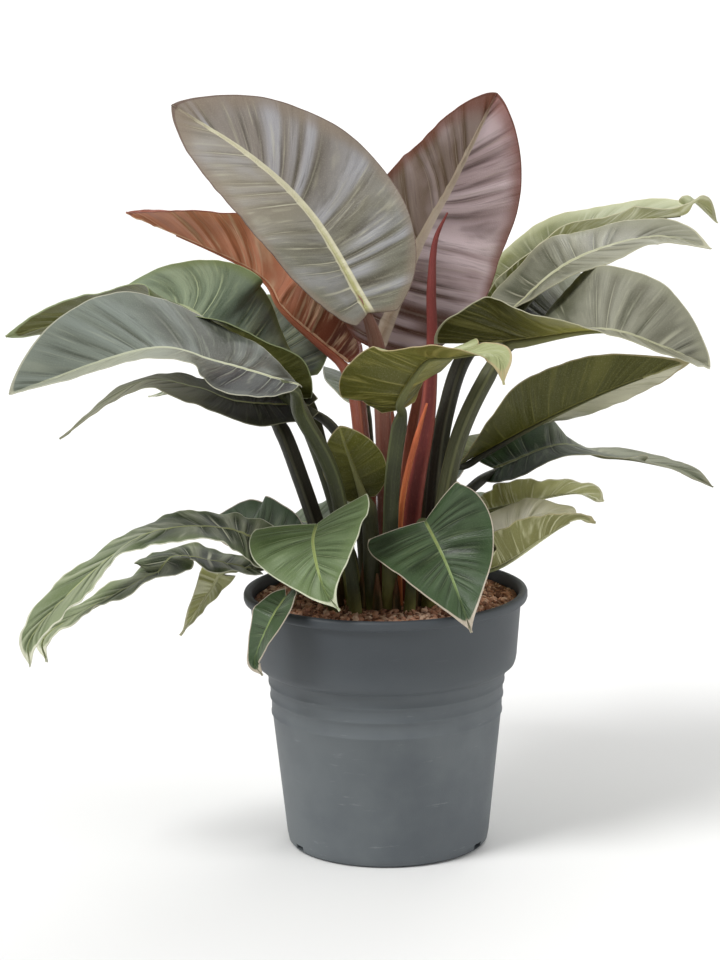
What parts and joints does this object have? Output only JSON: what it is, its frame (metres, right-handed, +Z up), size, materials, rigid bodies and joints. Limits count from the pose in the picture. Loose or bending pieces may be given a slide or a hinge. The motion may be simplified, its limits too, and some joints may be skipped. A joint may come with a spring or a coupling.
{
  "type": "potted imperial red philodendron",
  "caption": "Bushy aroid house plant: long-stalked, waxy oval leaves in red, mauve, grey and green tones, rising from bark soil in a round stepped nursery pot.",
  "frame": {"origin": "centre of the pot's flat underside, on the surface that the pot stands on", "axes": "+Z up; +X to the plant's right and +Y to its far side, seen from the front of the picture"},
  "size_m": [0.6151, 0.3993, 0.6327],
  "materials": {
    "leaf_mauve": "waxy satin leaf, mauve-grey with dark grooves and a pale midrib",
    "leaf_copper": "waxy satin young leaf, terracotta to copper with pale veins",
    "leaf_grey": "waxy satin leaf, grey-green with a bluish bloom",
    "leaf_green": "waxy satin leaf, mid green with pale veins and rim",
    "leaf_dark": "waxy satin leaf, dark green",
    "leaf_olive": "waxy satin leaf, olive with pale veins",
    "leaf_pale": "waxy satin leaf, pale yellow-green",
    "new_leaf_red": "rolled young leaf and its sheath, smooth red",
    "sheath_dry": "dry leaf sheath, orange",
    "sheath_red": "thin leaf sheath, dark red",
    "pot_plastic": "moulded slate-grey plastic, satin with light scuffs",
    "bark_mix": "coarse reddish-brown bark potting mix"
  },
  "bodies": {
    "root": {"leaf_upper_left": "leaf_mauve", "leaf_upper_right": "leaf_mauve", "leaf_copper": "leaf_copper", "leaf_left_green": "leaf_green", "leaf_left_grey": "leaf_grey", "leaf_left_dark": "leaf_dark", "leaf_left_hidden": "leaf_green", "leaf_front_arching": "leaf_olive", "leaf_right_broad": "leaf_grey", "leaf_right_grey": "leaf_grey", "leaf_right_yellow": "leaf_pale", "leaf_right_olive": "leaf_olive", "leaf_right_dark": "leaf_dark", "leaf_low_right_upper": "leaf_pale", "leaf_low_right_middle": "leaf_pale", "leaf_low_right_front": "leaf_olive", "leaf_front_right": "leaf_green", "leaf_front_left": "leaf_green", "leaf_over_rim": "leaf_green", "leaf_low_left_pale": "leaf_pale", "leaf_low_left_front": "leaf_green", "leaf_low_left_twisted": "leaf_grey", "leaf_low_left_humped": "leaf_green", "leaf_centre_folded": "leaf_olive", "leaf_back_upright": "leaf_mauve", "leaf_back_left": "leaf_green", "leaf_back_right": "leaf_grey", "leaf_back_low": "leaf_dark", "leaf_back_low_left": "leaf_green", "leaf_back_low_right": "leaf_green", "leaf_back_middle": "leaf_green", "new_leaf": "new_leaf_red", "sheath_orange": "sheath_dry", "sheath_red": "sheath_red", "pot": "pot_plastic", "soil": "bark_mix"}
  },
  "joints": []
}
